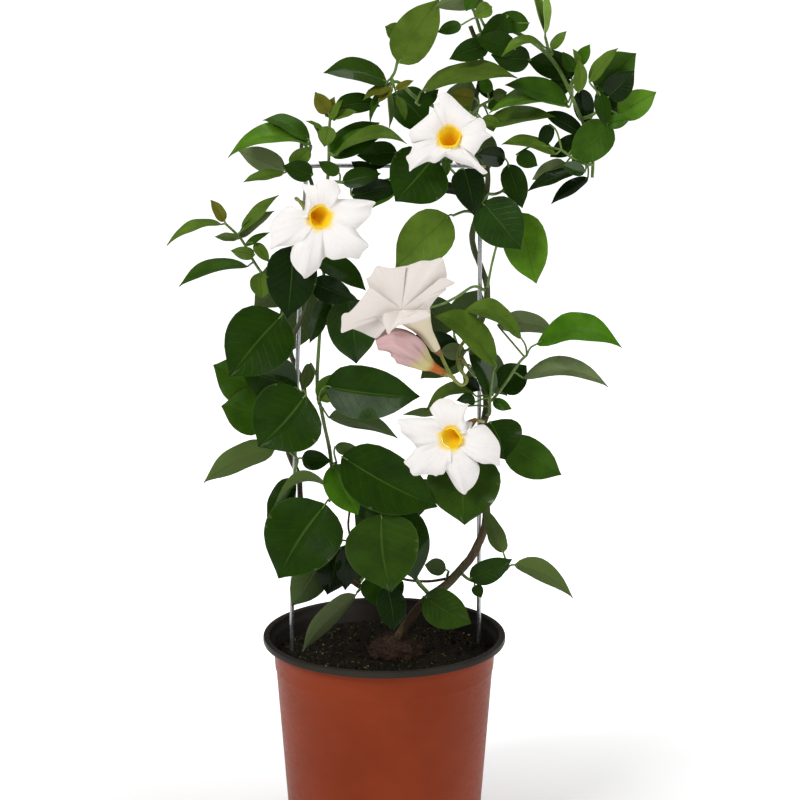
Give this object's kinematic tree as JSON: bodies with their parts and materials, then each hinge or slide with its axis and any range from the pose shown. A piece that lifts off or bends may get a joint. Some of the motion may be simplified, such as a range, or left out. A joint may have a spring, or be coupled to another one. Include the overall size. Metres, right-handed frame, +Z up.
{
  "type": "potted mandevilla",
  "caption": "Climbing mandevilla with white trumpet flowers and glossy leaves, twined on a wire hoop in a round terracotta-coloured nursery pot.",
  "frame": {"origin": "centre of the pot's underside, on the surface that it stands on", "axes": "+Z up along the pot's axis; the flowers face -Y, towards the viewer; +X to the viewer's right"},
  "size_m": [0.3285, 0.17, 0.6515],
  "materials": {
    "pot": "thin moulded terracotta-brown plastic with a darker rim",
    "soil": "dark damp peat with pale grit",
    "wire": "dull galvanised wire",
    "bark": "brown woody stem with fine ridges",
    "green_stem": "smooth green stem",
    "leaf": "glossy waxy leaf with a pale midrib and a matte underside",
    "petal": "soft white petal with a yellow throat",
    "spent_petal": "wilted pink petal",
    "calyx": "yellow-green stalk with a reddish calyx"
  },
  "bodies": {
    "root": {"pot": "pot", "soil": "soil", "wire_hoop": "wire", "main_vine": "bark", "left_vine": "bark", "inner_vine": "green_stem", "low_cross_vine": "bark", "front_tendril": "green_stem", "right_tendril": "green_stem", "top_vine": "green_stem", "hanging_vine": "green_stem", "left_tip_spray": "leaf", "left_large_spray": "leaf", "left_middle_spray": "leaf", "left_low_spray": "leaf", "left_spear_spray": "leaf", "inner_front_spray": "leaf", "knuckle_spray": "leaf", "heart_spray": "leaf", "bright_leaf_spray": "leaf", "wide_leaf_spray": "leaf", "round_leaf_spray": "leaf", "low_left_spray": "leaf", "pot_leaf_spray": "leaf", "rim_leaf_spray": "leaf", "low_twig_spray": "leaf", "right_low_spray": "leaf", "right_heart_spray": "leaf", "right_fan_spray": "leaf", "right_arch_spray": "leaf", "flower_back_spray": "leaf", "right_hanging_leaf_spray": "leaf", "right_inner_leaf_spray": "leaf", "pale_leaf_spray": "leaf", "left_arch_spray": "leaf", "left_crown_spray": "leaf", "bar_leaf_spray": "leaf", "upright_leaf_spray": "leaf", "long_leaf_spray": "leaf", "top_knot_spray": "leaf", "top_leaf_spray": "leaf", "new_shoot_spray": "leaf", "hanging_top_spray": "leaf", "hanging_side_spray": "leaf", "hanging_low_spray": "leaf", "summit_spray": "leaf", "back_left_spray": "leaf", "back_low_spray": "leaf", "back_right_spray": "leaf", "back_top_spray": "leaf", "top_flower": "petal", "left_flower": "petal", "right_flower": "petal", "cream_flower": "petal", "top_flower_stalk": "calyx", "left_flower_stalk": "calyx", "right_flower_stalk": "calyx", "cream_flower_stalk": "calyx", "spent_flower": "spent_petal"}
  },
  "joints": []
}
